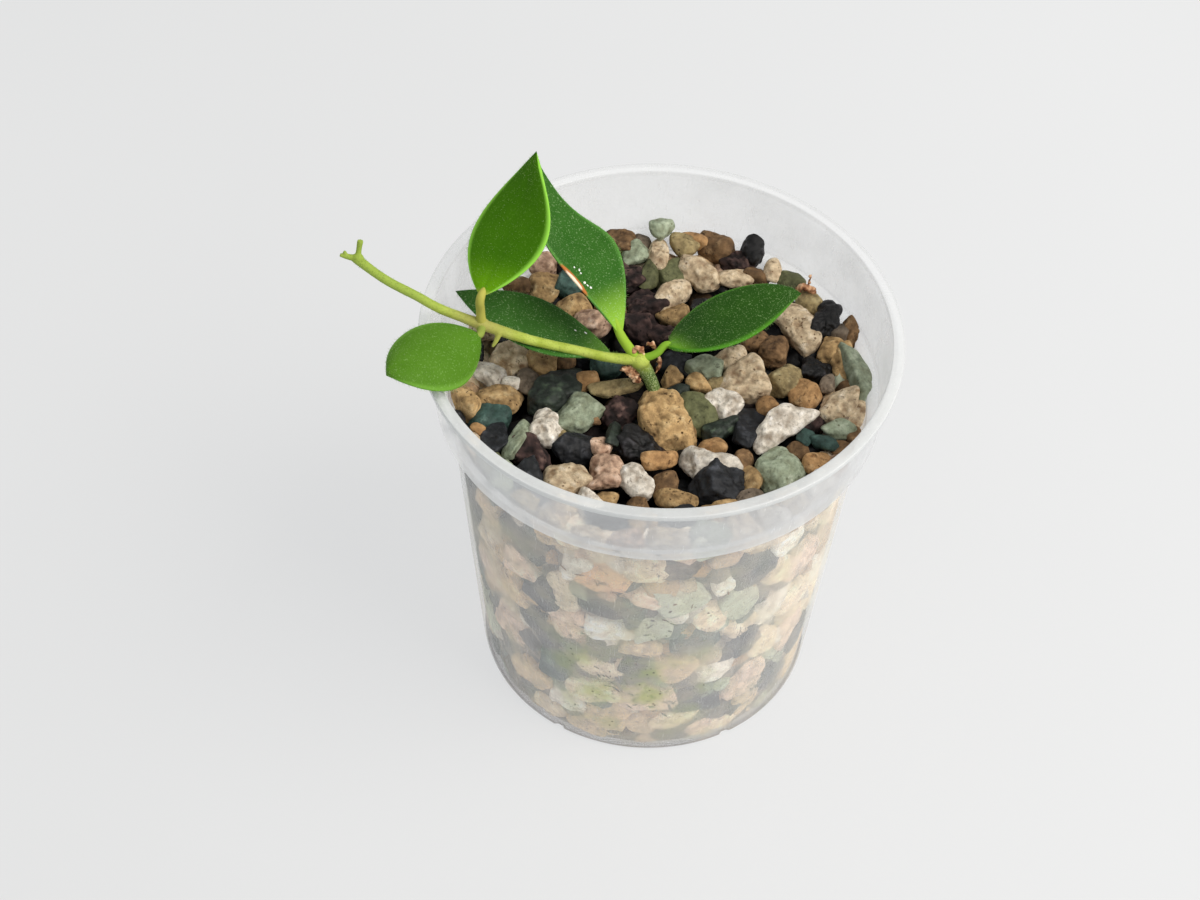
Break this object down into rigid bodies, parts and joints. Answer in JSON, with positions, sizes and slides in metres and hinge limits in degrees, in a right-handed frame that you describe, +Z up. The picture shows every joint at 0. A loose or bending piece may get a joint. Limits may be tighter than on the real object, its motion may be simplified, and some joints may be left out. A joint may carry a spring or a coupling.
{
  "type": "potted hoya plant",
  "caption": "Young hoya cutting with thick pointed leaves on a trailing vine, planted in mixed mineral gravel in a clear plastic nursery pot.",
  "frame": {"origin": "centre of the pot's flat underside", "axes": "+Z up the pot's axis, +X to the right and +Y to the back as pictured, with the vine running out along -X"},
  "size_m": [0.104, 0.09, 0.113],
  "materials": {
    "clear_plastic": "milky translucent moulded polypropylene",
    "mineral_gravel": "rough broken pumice, lava and zeolite",
    "green_stem": "satin living stem",
    "fleshy_leaf": "satin waxy leaf with fine pale hairs"
  },
  "bodies": {
    "root": {"pot": "clear_plastic", "gravel": "mineral_gravel", "stem": "green_stem", "leaf_1": "fleshy_leaf", "leaf_2": "fleshy_leaf", "leaf_3": "fleshy_leaf", "leaf_4": "fleshy_leaf", "leaf_5": "fleshy_leaf"}
  },
  "joints": []
}
